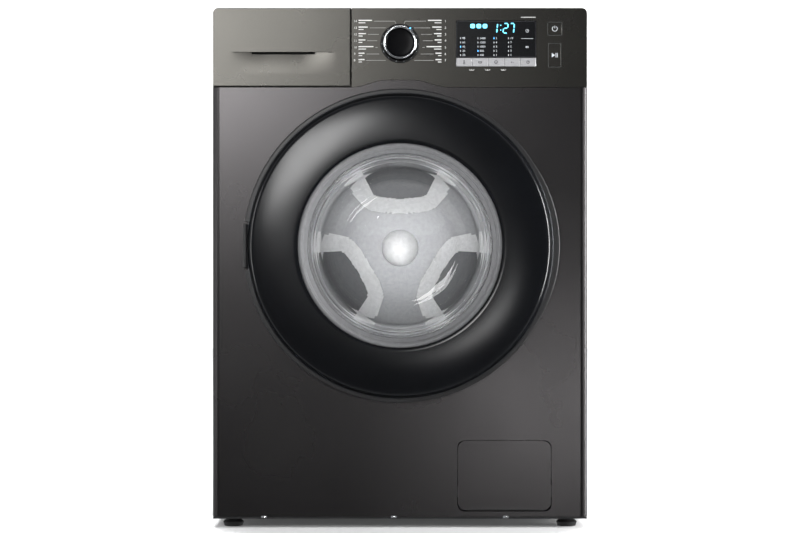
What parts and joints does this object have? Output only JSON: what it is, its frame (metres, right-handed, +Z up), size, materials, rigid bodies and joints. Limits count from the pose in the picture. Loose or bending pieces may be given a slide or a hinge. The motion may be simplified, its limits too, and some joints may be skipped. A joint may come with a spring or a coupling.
{
  "type": "front load washing machine",
  "caption": "Front load washing machine with a round glass porthole door, detergent drawer, programme dial, display and keys, and a suspended belt driven drum.",
  "frame": {"origin": "on the floor under the middle of the machine's bounding box", "axes": "+Z up, -Y out of the front door, +X to the right as seen from the front"},
  "size_m": [0.6, 0.55, 0.83],
  "materials": {
    "graphite_paint": "satin",
    "graphite_plastic": "satin",
    "graphite_laminate": "satin",
    "black_gloss": "gloss",
    "black_plastic": "satin",
    "galvanised_steel": "satin",
    "stainless_steel": "brushed",
    "chrome": "polished",
    "grey_plastic": "matte",
    "white_plastic": "matte",
    "grey_rubber": "matte",
    "black_rubber": "matte",
    "cast_aluminium": "cast",
    "concrete": "rough",
    "clear_glass": "polished",
    "silver_paint": "satin"
  },
  "bodies": {
    "cabinet": {"cabinet_wrap": "graphite_paint", "base_pan": "black_plastic", "front_panel": "graphite_paint", "top_panel": "graphite_laminate", "control_panel": "graphite_plastic", "dispenser_housing": "white_plastic", "display_window": "black_gloss", "rear_cover": "galvanised_steel", "spring_rail": "galvanised_steel", "door_gasket": "grey_rubber", "door_lock": "black_plastic", "hinge_bracket": "black_plastic", "inlet_valve": "white_plastic", "cord_gland": "black_plastic", "drain_outlet": "grey_plastic", "drain_pump": "white_plastic", "damper_cylinder_left": "black_plastic", "damper_cylinder_right": "black_plastic", "sump_bellows": "black_rubber", "drain_hose": "grey_rubber"},
    "tub": {"tub_front": "grey_plastic", "tub_rear": "grey_plastic", "bearing_front": "stainless_steel", "bearing_rear": "stainless_steel", "counterweight_top": "concrete", "motor_housing": "cast_aluminium", "damper_rod_left": "stainless_steel", "damper_rod_right": "stainless_steel", "drive_belt": "black_rubber", "tub_spring_left": "stainless_steel", "tub_spring_right": "stainless_steel"},
    "drum": {"drum_shell": "stainless_steel", "drum_spider": "cast_aluminium", "drum_pulley": "cast_aluminium", "drum_lifter_1": "grey_plastic", "drum_lifter_2": "grey_plastic", "drum_lifter_3": "grey_plastic"},
    "motor_shaft": {"motor_pulley": "stainless_steel"},
    "door": {"door_frame": "black_gloss", "door_trim_ring": "chrome", "door_glass": "clear_glass", "door_back_ring": "black_plastic", "door_hinge_arm": "black_plastic"},
    "door_hook": {"door_hook": "stainless_steel"},
    "drawer": {"drawer_front": "graphite_plastic", "drawer_tray": "grey_plastic"},
    "dial": {"dial_knob": "black_gloss"},
    "filter_flap": {"filter_flap": "graphite_paint"},
    "filter_cap": {"filter_cap": "black_plastic"},
    "power_button": {"power_button": "graphite_plastic"},
    "start_button": {"start_button": "graphite_plastic"},
    "option_key_1": {"option_key_1": "silver_paint"},
    "option_key_2": {"option_key_2": "silver_paint"},
    "option_key_3": {"option_key_3": "silver_paint"},
    "option_key_4": {"option_key_4": "silver_paint"},
    "option_key_5": {"option_key_5": "silver_paint"},
    "foot_front_left": {"foot_front_left": "black_rubber"},
    "foot_front_right": {"foot_front_right": "black_rubber"},
    "foot_rear_left": {"foot_rear_left": "black_rubber"},
    "foot_rear_right": {"foot_rear_right": "black_rubber"}
  },
  "joints": [
    {"name": "tub_float", "type": "slide", "parent": "cabinet", "child": "tub", "axis": [0, 0, 1], "range_m": [-0.008, 0.008], "stiffness_N_per_m": 24000, "springref_m": 0.01091, "deforming": ["tub_spring_left", "tub_spring_right", "sump_bellows", "door_gasket"]},
    {"name": "drum_spin", "type": "hinge", "parent": "tub", "child": "drum", "pos_m": [0, 0.188, 0.45], "axis": [0, 1, 0], "continuous": true},
    {"name": "motor_spin", "type": "hinge", "parent": "tub", "child": "motor_shaft", "pos_m": [-0.02, 0.224, 0.108], "axis": [0, 1, 0], "continuous": true},
    {"name": "door_hinge", "type": "hinge", "parent": "cabinet", "child": "door", "pos_m": [-0.246, -0.251, 0.45], "axis": [0, 0, -1], "range_deg": [0, 150]},
    {"name": "door_hook_pivot", "type": "hinge", "parent": "door", "child": "door_hook", "pos_m": [0.206, -0.246, 0.45], "axis": [0, 0, 1], "range_deg": [0, 10], "stiffness_Nm_per_rad": 0.6, "springref_deg": -11.46},
    {"name": "drawer_slide", "type": "slide", "parent": "cabinet", "child": "drawer", "axis": [0, -1, 0], "range_m": [0, 0.22]},
    {"name": "dial_turn", "type": "hinge", "parent": "cabinet", "child": "dial", "pos_m": [0, -0.239, 0.7728], "axis": [0, 1, 0], "continuous": true},
    {"name": "filter_flap_hinge", "type": "hinge", "parent": "cabinet", "child": "filter_flap", "pos_m": [0.16675, -0.2375, 0.0281], "axis": [1, 0, 0], "range_deg": [0, 90]},
    {"name": "filter_cap_turn", "type": "hinge", "parent": "cabinet", "child": "filter_cap", "pos_m": [0.16675, -0.213, 0.082], "axis": [0, -1, 0], "range_deg": [0, 540]},
    {"name": "power_button_press", "type": "slide", "parent": "cabinet", "child": "power_button", "axis": [0, 1, 0], "range_m": [0, 0.0015], "stiffness_N_per_m": 600, "springref_m": -0.002},
    {"name": "start_button_press", "type": "slide", "parent": "cabinet", "child": "start_button", "axis": [0, 1, 0], "range_m": [0, 0.0015], "stiffness_N_per_m": 600, "springref_m": -0.002},
    {"name": "option_key_1_press", "type": "slide", "parent": "cabinet", "child": "option_key_1", "axis": [0, 1, 0], "range_m": [0, 0.0015], "stiffness_N_per_m": 600, "springref_m": -0.002},
    {"name": "option_key_2_press", "type": "slide", "parent": "cabinet", "child": "option_key_2", "axis": [0, 1, 0], "range_m": [0, 0.0015], "stiffness_N_per_m": 600, "springref_m": -0.002},
    {"name": "option_key_3_press", "type": "slide", "parent": "cabinet", "child": "option_key_3", "axis": [0, 1, 0], "range_m": [0, 0.0015], "stiffness_N_per_m": 600, "springref_m": -0.002},
    {"name": "option_key_4_press", "type": "slide", "parent": "cabinet", "child": "option_key_4", "axis": [0, 1, 0], "range_m": [0, 0.0015], "stiffness_N_per_m": 600, "springref_m": -0.002},
    {"name": "option_key_5_press", "type": "slide", "parent": "cabinet", "child": "option_key_5", "axis": [0, 1, 0], "range_m": [0, 0.0015], "stiffness_N_per_m": 600, "springref_m": -0.002},
    {"name": "foot_front_left_turn", "type": "hinge", "parent": "cabinet", "child": "foot_front_left", "pos_m": [-0.268, -0.205, 0], "axis": [0, 0, 1], "range_deg": [-1080, 1080]},
    {"name": "foot_front_right_turn", "type": "hinge", "parent": "cabinet", "child": "foot_front_right", "pos_m": [0.268, -0.205, 0], "axis": [0, 0, 1], "range_deg": [-1080, 1080]},
    {"name": "foot_rear_left_turn", "type": "hinge", "parent": "cabinet", "child": "foot_rear_left", "pos_m": [-0.268, 0.229, 0], "axis": [0, 0, 1], "range_deg": [-1080, 1080]},
    {"name": "foot_rear_right_turn", "type": "hinge", "parent": "cabinet", "child": "foot_rear_right", "pos_m": [0.268, 0.229, 0], "axis": [0, 0, 1], "range_deg": [-1080, 1080]}
  ],
  "couplings": [
    {"joint": "motor_spin", "follows": "drum_spin", "ratio": 13.636}
  ]
}
